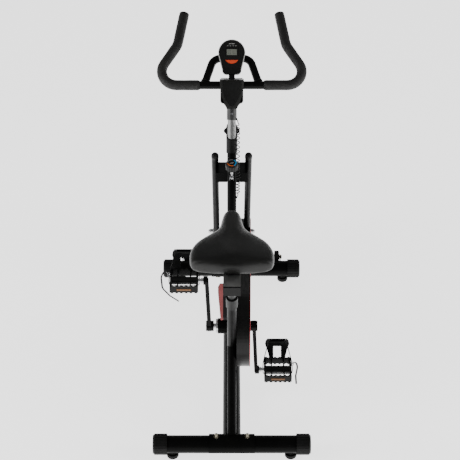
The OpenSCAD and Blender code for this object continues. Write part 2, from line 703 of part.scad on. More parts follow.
module computer_case() color("#1b1b1d") difference() {
    union() {
        on_console() as_face(-14, 12) console_outline(0);
        on_console() translate([-9.5, -7, -80]) cube([19, 12, 30]);
    }
    on_console() as_face(-11.5, 9.5) console_outline(2.5);
    on_console() as_face(-15, -13) translate([0, 14.7]) square(lcd, center = true);
    on_console() as_face(-15, -11) crescent(slack);
    on_upright(600) translate([-50, -60, 0]) cube([100, 120, cover_foot + cover_h - 600]);
}

module computer_lens() color("#7c8577") on_console() as_face(-14, -13) translate([0, 14.7]) square(lcd, center = true);

module computer_button() color("#d8492c") on_console() as_face(-15.5, -10) crescent(0);

// Seat

module seat_post() color("#c4c6c8") difference() {
    on_seat(110) linear_extrude(360) difference() {
        oval(post_w, post_d);
        oval(post_w - 4, post_d - 4);
    }
    translate([-50, rear_y - 100, track_z - 30]) cube([100, 400, 200]);
}

track_front = 186;

module seat_track() color("#b4b6b8") lengthwise(rear_y + track_rear + 6, rear_y + track_front - 6)
    translate([0, track_z - 15]) difference() {
        square([track_w, 30], center = true);
        square([track_w - 6, 24], center = true);
        for (x = [-20 : 5 : 20], e = [-1, 1]) translate([x - 0.9, e * 15 - 0.8]) square([1.8, 1.6]);
        for (z = [-9 : 6 : 9], e = [-1, 1]) translate([e * track_w / 2 - 0.8, z - 0.9]) square([1.6, 1.8]);
    }

module track_caps() color("#1b1b1d") for (y = [track_rear, track_front - 6])
    translate([0, rear_y + y, track_z - 15]) {
        rotate([-90, 0, 0]) linear_extrude(6) difference() {
            square([track_w, 30], center = true);
            for (x = [-21 : 6 : 21]) translate([x - 1, 14]) square([2, 2]);
        }
        translate([-track_w / 2 + 3, y < 0 ? 6 : -12, -12]) cube([track_w - 6, 12, 24]);
    }

saddle_pivot = at(95, track_z + 14);

module saddle_carriage() color("#1b1b1d") {
    difference() {
        union() {
            lengthwise(rear_y + 62, rear_y + 128) difference() {
                translate([-track_w / 2 - 4.5, track_z - 26]) square([track_w + 9, 32]);
                translate([-track_w / 2 - slack, track_z - 40]) square([track_w + 2 * slack, 40 + slack]);
            }
            for (s = [-1, 1]) side(s * 17 - 3, s * 17 + 3) polygon(concat(arc(saddle_pivot, 8, 0, 180),
                [saddle_pivot + [-15, -12], saddle_pivot + [15, -12]]));
            cross_bar(at(95, track_z - 14), 20, track_w / 2 + 1, track_w / 2 + 12);
        }
        cross_bar(saddle_pivot, bolt_d, -40, 40);
        cross_bar(at(95, track_z - 14), bolt_d + 0.1, 0, 60);
        translate([-track_w / 2 - slack, rear_y, track_z - 40]) cube([track_w + 2 * slack, 200, 40 + slack]);
    }
    cross_bar(saddle_pivot, bolt_d, -23, 23);
}

module carriage_knob() color("#1b1b1d") translate([0, rear_y + 95, track_z - 14]) {
    rotate([0, 90, 0]) {
        translate([0, 0, track_w / 2 + slack]) cylinder(h = 14, d = bolt_d);
        translate([0, 0, track_w / 2 + 12.5]) cylinder(h = 4, d = 18);
        translate([0, 0, track_w / 2 + 15]) linear_extrude(12) lobes(17, 6, 2);
    }
}

pan_z = track_z + 24;             // underside of the saddle's pan

module saddle_base() color("#222224") difference() {
    union() {
        cross_bar(saddle_pivot, 15, -13.7, 13.7);
        translate([-13.7, saddle_pivot[0] - 7.5, saddle_pivot[1]]) cube([27.4, 15, 12]);
        translate([0, rear_y, pan_z]) linear_extrude(5) {
            hull() for (s = [-1, 1]) translate([s * (saddle_w / 2 - 50), 42]) circle(r = 42);
            hull() {
                translate([0, 60]) circle(r = 50);
                translate([0, 214]) circle(r = 21);
            }
        }
    }
    cross_bar(saddle_pivot, bolt_d + 0.1, -30, 30);
}

module pad_ball(x, y, z, r, squash) translate([x, rear_y + y, track_z + z]) scale([1, 1, squash]) sphere(r = r, $fn = 32);

module saddle_cushion() color("#1d1d1f") intersection() {
    union() {
        hull() for (s = [-1, 1]) pad_ball(s * (saddle_w / 2 - 48), 40, 49, 48, 0.55);
        hull() {
            pad_ball(0, 62, 49, 50, 0.5);
            pad_ball(0, 216, 46, 27, 0.8);
        }
    }
    translate([-200, rear_y - 100, pan_z + 5]) cube([400, 500, 100]);
}

base_tube();
rear_strut();
seat_tube();
upright_tube();
crank_shell();
bearing_cups();
fork_legs();
fork_caps();
cross_member();
flywheel_axle();
rear_stabilizer();
front_stabilizer();
stabilizer_caps();
stabilizer_brackets();
base_bolts();
rubber_feet();
chain();
guard_outer();
guard_inner();
left_cover();
tube_collars();
tension_bracket();
sensor_cord();
crank_spindle();
crank_left();
crank_right();
chainring();
pedal_spindles();
pedal_left();
toe_cage_left();
strap_left();
pedal_right();
toe_cage_right();
strap_right();
flywheel();
sprocket();
brake_arm();
brake_pad();
tension_knob();
handlebar_post();
handlebar_sleeve();
stem_cover_rear();
stem_cover_front();
handlebar();
grips();
bar_plugs();
computer_case();
computer_lens();
computer_button();
handlebar_knob();
seat_post();
seat_track();
track_caps();
seat_knob();
saddle_carriage();
carriage_knob();
saddle_base();
saddle_cushion();
transport_wheel(true);  // transport_wheel_left
transport_wheel(false);  // transport_wheel_right
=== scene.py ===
"""Looks for the exercise bike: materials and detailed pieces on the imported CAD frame, in metres."""
import json
import math
import bpy
from mathutils import Matrix, Vector


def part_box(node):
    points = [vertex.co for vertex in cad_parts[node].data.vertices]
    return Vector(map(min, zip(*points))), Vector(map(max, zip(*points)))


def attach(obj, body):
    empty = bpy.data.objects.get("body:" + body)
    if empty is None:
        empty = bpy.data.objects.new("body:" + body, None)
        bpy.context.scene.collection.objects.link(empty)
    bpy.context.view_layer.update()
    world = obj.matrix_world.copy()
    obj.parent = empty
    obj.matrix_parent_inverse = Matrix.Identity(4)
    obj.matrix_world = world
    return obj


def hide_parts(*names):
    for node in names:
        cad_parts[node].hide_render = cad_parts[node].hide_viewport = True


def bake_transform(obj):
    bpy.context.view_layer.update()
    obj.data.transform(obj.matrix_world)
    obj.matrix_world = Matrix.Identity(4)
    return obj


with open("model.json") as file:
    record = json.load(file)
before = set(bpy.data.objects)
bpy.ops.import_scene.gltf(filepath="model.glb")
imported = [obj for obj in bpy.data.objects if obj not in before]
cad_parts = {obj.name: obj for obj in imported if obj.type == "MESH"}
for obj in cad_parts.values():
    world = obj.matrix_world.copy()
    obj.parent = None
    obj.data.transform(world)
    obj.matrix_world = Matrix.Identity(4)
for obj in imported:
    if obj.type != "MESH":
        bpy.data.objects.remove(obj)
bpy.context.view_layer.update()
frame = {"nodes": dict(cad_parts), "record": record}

RECORD = frame["record"]
JOINTS = {j["name"]: j for j in RECORD["behaviour"]["joints"]}
CRANK = Vector(JOINTS["crank_spin"]["pos_m"])
AXLE = Vector(JOINTS["flywheel_spin"]["pos_m"])
UP = Vector(JOINTS["handlebar_height"]["axis"])          # along the front upright
AHEAD = Vector(JOINTS["handlebar_clamp_turn"]["axis"])   # out of the upright's front face
INTO_FACE = Vector(JOINTS["button_press"]["axis"])       # into the computer's face
FACE_UP = Vector((0, -INTO_FACE.z, INTO_FACE.y))
KNOB_AXIS = Vector(JOINTS["tension_turn"]["axis"])
KNOB_TOP = Vector(JOINTS["tension_turn"]["pos_m"])
RIGHT = Vector((1, 0, 0))
MM = 0.001


def middle(node):
    low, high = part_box(node)
    return (Vector(low) + Vector(high)) / 2


def on_upright(x, ahead, t):
    """A point by millimetres across, out of the front face, and along the upright from the crank."""
    return CRANK + RIGHT * x * MM + AHEAD * ahead * MM + UP * t * MM


# ---------------------------------------------------------------- camera, floor and light

CAMERA_BACK = 3.178      # behind the rear stabilizer
CAMERA_UP = 3.267
CAMERA_PITCH = 36.7      # degrees below level
REAR_Y = middle("rear_stabilizer").y

camera = bpy.data.objects.new("camera", bpy.data.cameras.new("camera"))
bpy.context.scene.collection.objects.link(camera)
camera.location = (-0.0056, REAR_Y - CAMERA_BACK, CAMERA_UP)
camera.rotation_euler = (math.radians(90 - CAMERA_PITCH), 0, 0)
camera.data.lens = 110.3
camera.data.sensor_width = 36
bpy.context.scene.camera = camera


def area_light(name, place, aim, size, watts, tint=(1, 1, 1)):
    data = bpy.data.lights.new(name, "AREA")
    data.shape = "RECTANGLE"
    data.size, data.size_y = size
    data.energy = watts
    data.color = tint
    lamp = bpy.data.objects.new(name, data)
    bpy.context.scene.collection.objects.link(lamp)
    lamp.location = place
    lamp.rotation_euler = (Vector(aim) - Vector(place)).to_track_quat("-Z", "Y").to_euler()


area_light("left", (-3.0, -1.2, 1.9), (0, 0, 0.6), (1.0, 2.2), 60)
area_light("right", (3.0, -1.0, 1.8), (0, 0, 0.6), (1.0, 2.2), 42)
area_light("back", (0.4, 3.0, 2.6), (0, 0.2, 0.6), (2.4, 0.8), 7)

world = bpy.data.worlds.new("studio")
world.use_nodes = True
world.node_tree.nodes["Background"].inputs["Color"].default_value = (1, 1, 1, 1)
world.node_tree.nodes["Background"].inputs["Strength"].default_value = 0.22
bpy.context.scene.world = world


# ---------------------------------------------------------------- mesh helpers

def mesh_object(name, verts, faces, smooth=True):
    data = bpy.data.meshes.new(name)
    data.from_pydata([tuple(v) for v in verts], [], faces)
    data.validate()
    data.polygons.foreach_set("use_smooth", [smooth] * len(data.polygons))
    data.update()
    obj = bpy.data.objects.new(name, data)
    bpy.context.scene.collection.objects.link(obj)
    return obj


def add_bevel(obj, width, segments=2):
    bevel = obj.modifiers.new("bevel", "BEVEL")
    bevel.width, bevel.segments, bevel.limit_method = width, segments, "ANGLE"
    bevel.angle_limit = math.radians(35)
    bevel.harden_normals = False
    return obj


def rounded(points, radii, steps=10):
    """The points of a path whose corners are rounded to the radii."""
    out = [points[0]]
    for before, corner, after, radius in zip(points, points[1:], points[2:], radii[1:]):
        u, v = (corner - before).normalized(), (after - corner).normalized()
        turn = u.angle(v)
        w = (v - v.dot(u) * u).normalized()
        centre = corner - u * radius * math.tan(turn / 2) + w * radius
        out += [centre + radius * (math.sin(a) * u - math.cos(a) * w)
                for a in (turn * k / steps for k in range(steps + 1))]
    return out + [points[-1]]


def spaced(points, step):
    """The same path with its long straight runs cut into steps."""
    out = [points[0]]
    for a, b in zip(points, points[1:]):
        n = max(1, round((b - a).length / step))
        out += [a.lerp(b, k / n) for k in range(1, n + 1)]
    return out


def circle(radius, sides=24):
    return [(radius * math.cos(2 * math.pi * k / sides), radius * math.sin(2 * math.pi * k / sides))
            for k in range(sides)]


def web_section(thick, wide):
    """Section of a flat strap with eased edges."""
    t, w, e = thick / 2, wide / 2, thick / 3
    return [(-t, -w + e), (-t + e, -w), (t - e, -w), (t, -w + e),
            (t, w - e), (t - e, w), (-t + e, w), (-t, w - e)]


def sweep(name, path, section, level, scales=None, closed=False):
    """A section carried along a path. Its first number lies across the path, its second along level."""
    n, rings = len(section), len(path)
    verts = []
    for i, p in enumerate(path):
        ahead = path[(i + 1) % rings] if closed else path[min(i + 1, rings - 1)]
        behind = path[i - 1] if closed else path[max(i - 1, 0)]
        t = (ahead - behind).normalized()
        w = t.cross(level).normalized()
        v = w.cross(t)
        s = scales[i] if scales else 1
        verts += [p + w * a * s + v * b * s for a, b in section]
    faces = []
    for i in range(rings if closed else rings - 1):
        j = (i + 1) % rings
        faces += [(i * n + k, i * n + (k + 1) % n, j * n + (k + 1) % n, j * n + k) for k in range(n)]
    if not closed:
        faces += [tuple(reversed(range(n))), tuple(range((rings - 1) * n, rings * n))]
    return mesh_object(name, verts, faces)


def lathe(name, profile, places, sides=28):
    """A turned shape, (radius, height) from its foot to its tip, at each (point, axis)."""
    verts, faces = [], []
    for point, axis in places:
        turn = Vector((0, 0, 1)).rotation_difference(Vector(axis))
        start = len(verts)
        for r, h in profile:
            verts += [Vector(point) + turn @ Vector((x, y, h)) for x, y in circle(r, sides)]
        for i in range(len(profile) - 1):
            faces += [(start + i * sides + k, start + i * sides + (k + 1) % sides,
                       start + (i + 1) * sides + (k + 1) % sides, start + (i + 1) * sides + k)
                      for k in range(sides)]
        last = start + (len(profile) - 1) * sides
        faces += [tuple(reversed(range(start, start + sides))), tuple(range(last, last + sides))]
    obj = mesh_object(name, verts, faces)
    return obj


def plates(name, outlines, origin, across, upward, out, lift, sink=0.0004):
    """Thin raised plates from outlines in millimetres on a flat face."""
    verts, faces = [], []
    for outline in outlines:
        start, n = len(verts), len(outline)
        for height in (-sink, lift):
            verts += [origin + across * x * MM + upward * z * MM + out * height for x, z in outline]
        faces += [(start + k, start + (k + 1) % n, start + n + (k + 1) % n, start + n + k) for k in range(n)]
        faces += [tuple(reversed(range(start, start + n))), tuple(range(start + n, start + 2 * n))]
    return mesh_object(name, verts, faces, smooth=False)


def box_outline(x0, z0, x1, z1):
    return [(x0, z0), (x1, z0), (x1, z1), (x0, z1)]


# ---------------------------------------------------------------- materials

class Nodes:
    """A material's node tree, with short calls for the nodes used here."""

    def __init__(self, name):
        self.material = bpy.data.materials.new(name)
        self.material.use_nodes = True
        self.tree = self.material.node_tree
        self.shader = self.tree.nodes["Principled BSDF"]
        self.place = self.add("ShaderNodeTexCoord").outputs["Object"]

    def add(self, kind, **settings):
        node = self.tree.nodes.new(kind)
        for key, value in settings.items():
            if hasattr(node, key):
                setattr(node, key, value)
            else:
                node.inputs[key].default_value = value
        return node

    def link(self, source, target):
        self.tree.links.new(source, target)

    def stretched(self, factors):
        node = self.add("ShaderNodeMapping")
        self.link(self.place, node.inputs["Vector"])
        node.inputs["Scale"].default_value = factors
        return node.outputs[0]

    def noise(self, scale, detail=2.0, source=None):
        node = self.add("ShaderNodeTexNoise", Scale=scale, Detail=detail)
        self.link(source or self.place, node.inputs["Vector"])
        return node.outputs["Fac"]

    def cells(self, scale, feature="F1", source=None):
        node = self.add("ShaderNodeTexVoronoi", feature=feature, Scale=scale)
        self.link(source or self.place, node.inputs["Vector"])
        return node.outputs["Distance"]

    def span(self, value, low, high, start=0.3, end=0.7):
        node = self.add("ShaderNodeMapRange")
        self.link(value, node.inputs["Value"])
        for key, number in zip(("From Min", "From Max", "To Min", "To Max"), (start, end, low, high)):
            node.inputs[key].default_value = number
        return node.outputs[0]

    def maths(self, kind, a, b=None):
        node = self.add("ShaderNodeMath", operation=kind)
        for value, socket in zip((a, b), node.inputs):
            if isinstance(value, (int, float)):
                socket.default_value = value
            elif value is not None:
                self.link(value, socket)
        return node.outputs[0]

    def mix(self, factor, a, b):
        node = self.add("ShaderNodeMix", data_type="RGBA")
        self.link(factor, node.inputs["Factor"])
        for value, socket in zip((a, b), (node.inputs[6], node.inputs[7])):
            if isinstance(value, (tuple, list)):
                socket.default_value = (*value[:3], 1)
            else:
                self.link(value, socket)
        return node.outputs[2]

    def bump(self, height, strength, distance):
        node = self.add("ShaderNodeBump", Strength=strength, Distance=distance)
        self.link(height, node.inputs["Height"])
        last = self.shader.inputs["Normal"].links
        if last:
            self.link(last[0].from_socket, node.inputs["Normal"])
        self.link(node.outputs[0], self.shader.inputs["Normal"])

    def beyond(self, axis, distance):
        """1 where a point lies further than distance along axis, 0 before it."""
        node = self.add("ShaderNodeVectorMath", operation="DOT_PRODUCT")
        self.link(self.place, node.inputs[0])
        node.inputs[1].default_value = axis
        return self.span(node.outputs["Value"], 0, 1, distance, distance + 0.0002)


def surface(name, color, rough, metal=0.0, spread=0.25, patches=14, spec=0.16, coat=0.0):
    """A material whose colour and roughness wander a little over patches about 1/patches m wide."""
    n = Nodes(name)
    dark = tuple(c * (1 - spread) for c in color)
    light = tuple(min(1, c * (1 + spread)) for c in color)
    wander = n.noise(patches, 4.0)
    n.link(n.mix(n.span(wander, 0, 1), dark, light), n.shader.inputs["Base Color"])
    n.link(n.span(n.noise(patches * 2.3, 3.0), rough * 0.85, min(1, rough * 1.18)), n.shader.inputs["Roughness"])
    n.shader.inputs["Metallic"].default_value = metal
    n.shader.inputs["Specular IOR Level"].default_value = spec
    n.shader.inputs["Coat Weight"].default_value = coat
    n.shader.inputs["Coat Roughness"].default_value = 0.2
    return n


def two_tone(n, where, color, rough, metal):
    """Beyond a plane, the material turns into another colour, roughness and metal."""
    shader = n.shader.inputs
    base = shader["Base Color"].links[0].from_socket
    n.link(n.mix(where, base, color), shader["Base Color"])
    old = shader["Roughness"].links[0].from_socket
    n.link(n.maths("ADD", n.maths("MULTIPLY", old, n.maths("SUBTRACT", 1.0, where)),
                   n.maths("MULTIPLY", where, rough)), shader["Roughness"])
    first = shader["Metallic"].default_value
    n.link(n.span(where, first, metal, 0, 1), shader["Metallic"])


def powder_coat():
    n = surface("powder_coat", (0.0030, 0.0030, 0.0029), 0.35, spec=0.045)
    n.bump(n.noise(900, 2), 0.10, 0.0002)
    n.bump(n.noise(260, 2), 0.12, 0.0004)
    return n


def gloss_paint():
    n = surface("bar_paint", (0.0035, 0.0035, 0.0034), 0.26, spec=0.10)
    n.bump(n.noise(220, 2), 0.06, 0.0004)
    return n


def moulded(name, color=(0.0068, 0.0068, 0.0066), rough=0.46, grain=0.22):
    n = surface(name, color, rough)
    n.bump(n.cells(1500), grain, 0.00025)
    n.bump(n.noise(130, 2), 0.08, 0.0006)
    return n


def rubber():
    n = surface("rubber", (0.010, 0.010, 0.0098), 0.72, spread=0.4)
    n.bump(n.noise(700, 4), 0.3, 0.0004)
    return n


def foam():
    n = surface("grip_foam", (0.0048, 0.0045, 0.0042), 0.66, spread=0.35, patches=40, spec=0.45)
    pores = n.span(n.cells(620), 0, 1, 0.05, 0.5)
    n.bump(pores, 0.55, 0.0006)
    n.bump(n.noise(90, 3), 0.25, 0.0012)
    n.shader.inputs["Sheen Weight"].default_value = 0.02
    n.shader.inputs["Sheen Roughness"].default_value = 0.5
    return n


def vinyl():
    n = surface("saddle_vinyl", (0.0075, 0.0075, 0.0070), 0.40, spread=0.3, patches=9, spec=0.3)
    creases = n.span(n.cells(330, "DISTANCE_TO_EDGE"), 0, 1, 0.0, 0.22)
    n.bump(creases, 0.32, 0.0005)
    n.bump(n.noise(1100, 3), 0.14, 0.0002)
    n.bump(n.noise(24, 3), 0.10, 0.004)
    return n


def drawn_metal(name, color, rough, along):
    """Metal with fine lines along one of its axes."""
    n = surface(name, color, rough, metal=1.0, spread=0.10)
    lines = n.noise(240, 3, n.stretched(tuple(0.03 if axis == along else 1.0 for axis in "xyz")))
    n.bump(lines, 0.16, 0.0003)
    n.bump(n.noise(1300, 2), 0.12, 0.0002)
    return n


def turned_steel():
    """Machined flywheel: fine rings about the axle."""
    n = surface("turned_steel", (0.17, 0.172, 0.178), 0.32, metal=1.0, spread=0.12, patches=6)
    offset = n.add("ShaderNodeVectorMath", operation="SUBTRACT")
    n.link(n.place, offset.inputs[0])
    offset.inputs[1].default_value = AXLE
    flat = n.add("ShaderNodeVectorMath", operation="MULTIPLY")
    n.link(offset.outputs[0], flat.inputs[0])
    flat.inputs[1].default_value = (0, 1, 1)
    length = n.add("ShaderNodeVectorMath", operation="LENGTH")
    n.link(flat.outputs[0], length.inputs[0])
    rings = n.add("ShaderNodeTexNoise", noise_dimensions="1D", Scale=1400, Detail=2.0)
    n.link(length.outputs["Value"], rings.inputs["W"])
    n.bump(rings.outputs["Fac"], 0.30, 0.0003)
    return n


def plated(name, color, rough=0.22):
    n = surface(name, color, rough, metal=1.0, spread=0.14, patches=60)
    n.bump(n.noise(420, 3), 0.10, 0.0003)
    return n


def oiled_steel():
    n = surface("oiled_steel", (0.10, 0.10, 0.105), 0.36, metal=1.0, spread=0.35, patches=70)
    n.bump(n.noise(500, 3), 0.2, 0.0003)
    return n


def webbing(name, color):
    """Ribbed plastic strap: fine cross ribs and a little fuzz."""
    n = surface(name, color, 0.55, spread=0.3, patches=60)
    wave = n.add("ShaderNodeTexWave", Scale=260, Distortion=0.4)
    wave.bands_direction = "Z"
    n.link(n.place, wave.inputs["Vector"])
    n.bump(wave.outputs["Fac"], 0.35, 0.0004)
    n.bump(n.noise(1000, 3), 0.2, 0.0002)
    return n


def felt():
    n = surface("felt", (0.13, 0.105, 0.065), 0.95, spread=0.35, patches=120)
    n.bump(n.noise(900, 6), 0.6, 0.0008)
    return n


def display():
    n = surface("display", (0.16, 0.17, 0.145), 0.16, spread=0.04, coat=0.2)
    n.bump(n.noise(60, 2), 0.02, 0.0005)
    return n


def reflector():
    """Amber prismatic reflector."""
    n = surface("reflector", (0.17, 0.065, 0.010), 0.2, spread=0.2, patches=200, coat=0.5)
    n.bump(n.cells(420, "DISTANCE_TO_EDGE"), 0.8, 0.0008)
    return n


def gloss(name, color, rough=0.22, grain=0.05):
    n = surface(name, color, rough, spread=0.15, coat=0.15)
    n.bump(n.noise(180, 2), grain, 0.0005)
    return n


knob_plastic = moulded("knob_plastic")
two_tone(knob_plastic, knob_plastic.beyond(-KNOB_AXIS, -KNOB_AXIS.dot(KNOB_TOP) + 0.0241), (0.55, 0.55, 0.56), 0.22, 1.0)
cover_plastic = gloss("cover_plastic", (0.40, 0.11, 0.11), 0.34)
two_tone(cover_plastic, cover_plastic.beyond(RIGHT, -0.028), (0.012, 0.012, 0.013), 0.4, 0.0)

FINISH = {
    "frame_paint": powder_coat(),
    "black_plastic": moulded("black_plastic"),
    "guard_plastic": moulded("guard_plastic", (0.0075, 0.0075, 0.0072), 0.34, 0.14),
    "red_plastic": cover_plastic,
    "button_plastic": gloss("button_plastic", (0.62, 0.065, 0.022)),
    "rubber": rubber(),
    "foam": foam(),
    "cord_jacket": gloss("cord_jacket", (0.006, 0.006, 0.006), 0.38, 0.1),
    "strap_web": webbing("strap_web", (0.006, 0.006, 0.006)),
    "saddle_vinyl": vinyl(),
    "post_metal": drawn_metal("post_metal", (0.26, 0.262, 0.26), 0.44, "z"),
    "track_metal": drawn_metal("track_metal", (0.52, 0.525, 0.51), 0.42, "y"),
    "bright_steel": plated("bright_steel", (0.62, 0.62, 0.63)),
    "bolt_zinc": plated("bolt_zinc", (0.30, 0.28, 0.22), 0.30),
    "flywheel_steel": turned_steel(),
    "dark_steel": oiled_steel(),
    "bar_paint": gloss_paint(),
    "felt": felt(),
    "lcd": display(),
}
FINISH = {key: n.material for key, n in FINISH.items()}

amber = reflector().material
ORANGE = gloss("orange_mark", (0.70, 0.13, 0.02)).material
BLUE = gloss("blue_mark", (0.02, 0.30, 0.62)).material
SILVER = plated("silver_rim", (0.42, 0.42, 0.43), 0.3).material
PALE = gloss("pale_mark", (0.30, 0.30, 0.29), 0.4).material
TRIM = gloss("silver_trim", (0.42, 0.42, 0.41), 0.3).material
STEM_GREY = moulded("stem_plastic", (0.020, 0.020, 0.019), 0.38).material
STEM_FRONT = moulded("stem_front_plastic", (0.050, 0.050, 0.048), 0.42).material
SLEEVE = drawn_metal("sleeve_metal", (0.065, 0.0655, 0.065), 0.46, "z").material
SEAT_METAL = drawn_metal("seat_post_metal", (0.045, 0.0455, 0.045), 0.38, "z").material
INK = gloss("segment_ink", (0.010, 0.010, 0.010), 0.3).material
RED = gloss("red_trim", (0.36, 0.02, 0.03), 0.3).material

for part in RECORD["subparts"]:
    node = frame["nodes"][part["node"]]
    for place in node.material_slots:
        place.material = FINISH[part["material_slot"]]
# the moulded and pressed parts have eased edges, which catch the light
EASED = {"stem_cover_rear": 1.2, "stem_cover_front": 1.0, "computer_case": 0.9, "cross_member": 0.8, "track_caps": 0.7,
         "pedal_left": 0.5, "pedal_right": 0.5, "guard_outer": 1.4, "guard_inner": 1.0, "handlebar_knob": 0.8,
         "seat_knob": 0.8, "carriage_knob": 0.8, "saddle_carriage": 0.7, "crank_left": 0.8, "crank_right": 0.8,
         "tube_collars": 0.8, "toe_cage_left": 0.4, "toe_cage_right": 0.4, "computer_button": 0.4}
for name, width in EASED.items():
    add_bevel(frame["nodes"][name], width * MM)
OWN_FINISH = {"tension_knob": knob_plastic.material, "stem_cover_rear": STEM_GREY, "stem_cover_front": STEM_FRONT,
              "handlebar_sleeve": SLEEVE, "seat_post": SEAT_METAL}
for name, paint in OWN_FINISH.items():
    for place in frame["nodes"][name].material_slots:
        place.material = paint


def dress(obj, body, slot, material=None):
    """Gives a new piece its material, the finish named by its slot unless a material is given, and its body."""
    obj.data.materials.clear()
    obj.data.materials.append(material or FINISH[slot])
    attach(obj, body)
    return obj


# ---------------------------------------------------------------- handlebar, grips and plugs

BAR = on_upright(0, 0, 776)
BAR_R = 0.0127
GRIP_R = 0.0159
LEVEL = Vector((0, -0.58, 0.81))       # no stretch of the handlebar points this way


def hold(x, y, z):
    """A point by millimetres across, forward and up from the handlebar's middle."""
    return BAR + Vector((x, y, z)) * MM


def flipped(v):
    return Vector((-v.x, v.y, v.z))


half = [hold(100, 0, 0), hold(257, 0, 0), hold(171, 110, 80), hold(151.5, 210, 134.8)]
half_bends = [0, 0.0465, 0.060, 0]
whole = [flipped(p) for p in half[:0:-1]] + half[1:]
whole_path = spaced(rounded(whole, half_bends[:0:-1] + half_bends[1:]), 0.012)
bar_tube = sweep("handlebar_tube", whole_path, circle(BAR_R, 28), LEVEL)
dress(bar_tube, "bars", "bar_paint")
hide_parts("handlebar")

hoop = [hold(-86, 0, 0), hold(-57, 85, 47), hold(57, 85, 47), hold(86, 0, 0)]
hoop_tube = sweep("inner_hoop", spaced(rounded(hoop, [0, 0.032, 0.032, 0]), 0.01), circle(BAR_R - 0.0004, 28), LEVEL)
dress(hoop_tube, "bars", "bar_paint")


def weld_bead(name, centre, axis, radius, wire):
    """The rippled ring of a weld about a tube's foot."""
    side = axis.orthogonal().normalized()
    other = axis.cross(side)
    around = [centre + (side * math.cos(a) + other * math.sin(a)) * radius
              for a in (2 * math.pi * k / 72 for k in range(72))]
    ripple = [1 + 0.16 * (k % 2) for k in range(72)]
    return sweep(name, around, circle(wire, 10), axis, ripple, closed=True)


for s in (-1, 1):
    foot, bend = (hoop[0], hoop[1]) if s < 0 else (hoop[3], hoop[2])
    leg = (bend - foot).normalized()
    bead = weld_bead(f"hoop_weld_{'left' if s < 0 else 'right'}", foot + leg * 0.0135, leg, BAR_R, 0.0016)
    dress(bead, "bars", "bar_paint")

for s, side in ((-1, "left"), (1, "right")):
    points = half if s > 0 else [flipped(p) for p in half]
    path = spaced(rounded(points, half_bends), 0.006)
    run = [0.0]
    for a, b in zip(path, path[1:]):
        run.append(run[-1] + (b - a).length)
    # the foam's ends are eased over 4 mm, and the tube swells and sinks a little as foam does
    swell = [1 + 0.006 * math.sin(90 * t) + 0.004 * math.sin(203 * t + 1) for t in run]
    ends = [1 - 0.13 * max(0, 1 - min(t, run[-1] - t) / 0.004) ** 2 for t in run]
    grip = sweep(f"grip_{side}", path, circle(GRIP_R, 32), LEVEL, [a * b for a, b in zip(swell, ends)])
    dress(grip, "bars", "foam")
    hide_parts("grips")
    out = (path[-1] - path[-2]).normalized()
    plug = lathe(f"bar_plug_{side}", [(BAR_R - 0.002, -0.012), (GRIP_R - 0.0006, -0.0004), (GRIP_R - 0.0002, 0.0006),
                                      (GRIP_R - 0.0006, 0.0022), (GRIP_R - 0.004, 0.0032), (0.004, 0.0034)],
                 [(path[-1], out)])
    dress(plug, "bars", "black_plastic")
    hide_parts("bar_plugs")


# ---------------------------------------------------------------- saddle

SADDLE = Vector((0, REAR_Y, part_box("saddle_base")[0][2]))   # under the pan, above the rear stabilizer


def between(points, y):
    """A smooth curve through (y, value) points."""
    for i in range(len(points) - 1):
        (y0, v0), (y1, v1) = points[i], points[i + 1]
        if y <= y1:
            before, after = points[max(i - 1, 0)], points[min(i + 2, len(points) - 1)]
            m0 = (v1 - before[1]) / (y1 - before[0]) * (y1 - y0)
            m1 = (after[1] - v0) / (after[0] - y0) * (y1 - y0)
            t = max(0.0, (y - y0) / (y1 - y0))
            return ((2 * t ** 3 - 3 * t ** 2 + 1) * v0 + (t ** 3 - 2 * t ** 2 + t) * m0
                    + (3 * t ** 2 - 2 * t ** 3) * v1 + (t ** 3 - t ** 2) * m1)
    return points[-1][1]


# half widths by the distance ahead of the rear stabilizer, in millimetres
SADDLE_HALF = [(-12, 62), (-4, 101), (6, 117), (28, 122.5), (62, 121), (98, 106), (126, 80), (154, 49), (180, 37),
               (214, 30), (240, 23), (254, 11)]
SADDLE_REAR, SADDLE_NOSE = SADDLE_HALF[0][0], SADDLE_HALF[-1][0]
SADDLE_TOP = [(-12, 42), (12, 48), (60, 50), (120, 49), (200, 48), (254, 44)]
SKIRT = -5


def saddle_mesh(name):
    """The saddle as rings across it, each a wide arch on a flat underside."""
    stations, sides = 64, 56
    verts, faces = [], []
    length = SADDLE_NOSE - SADDLE_REAR
    for i in range(stations + 1):
        y = SADDLE_REAR + length * (1 - math.cos(math.pi * i / stations)) / 2
        to_end = min(y - SADDLE_REAR, SADDLE_NOSE - y)
        close = math.sqrt(max(0.0, 1 - max(0.0, 1 - to_end / 16) ** 2))
        wide = between(SADDLE_HALF, y) * (0.35 + 0.65 * close)
        top, low = between(SADDLE_TOP, y), SKIRT + 8 * max(0.0, (y - 60) / 185)
        mid = low + (top - low) * 0.42
        for k in range(sides):
            c, s = math.cos(2 * math.pi * k / sides), math.sin(2 * math.pi * k / sides)
            x = wide * math.copysign(abs(c) ** 0.6, c)
            rise = (top - mid) * abs(s) ** 0.66 if s > 0 else -(mid - low) * abs(s) ** 0.45
            # a shallow channel along the middle of the top
            dip = 1.6 * math.exp(-(x / 9) ** 2) * (s > 0) * min(1, to_end / 40)
            verts.append(SADDLE + Vector((x, y, mid + rise * (0.25 + 0.75 * close) - dip)) * MM)
    for i in range(stations):
        faces += [(i * sides + k, i * sides + (k + 1) % sides, (i + 1) * sides + (k + 1) % sides, (i + 1) * sides + k)
                  for k in range(sides)]
    last = stations * sides
    faces += [tuple(reversed(range(sides))), tuple(range(last, last + sides))]
    return mesh_object(name, verts, faces)


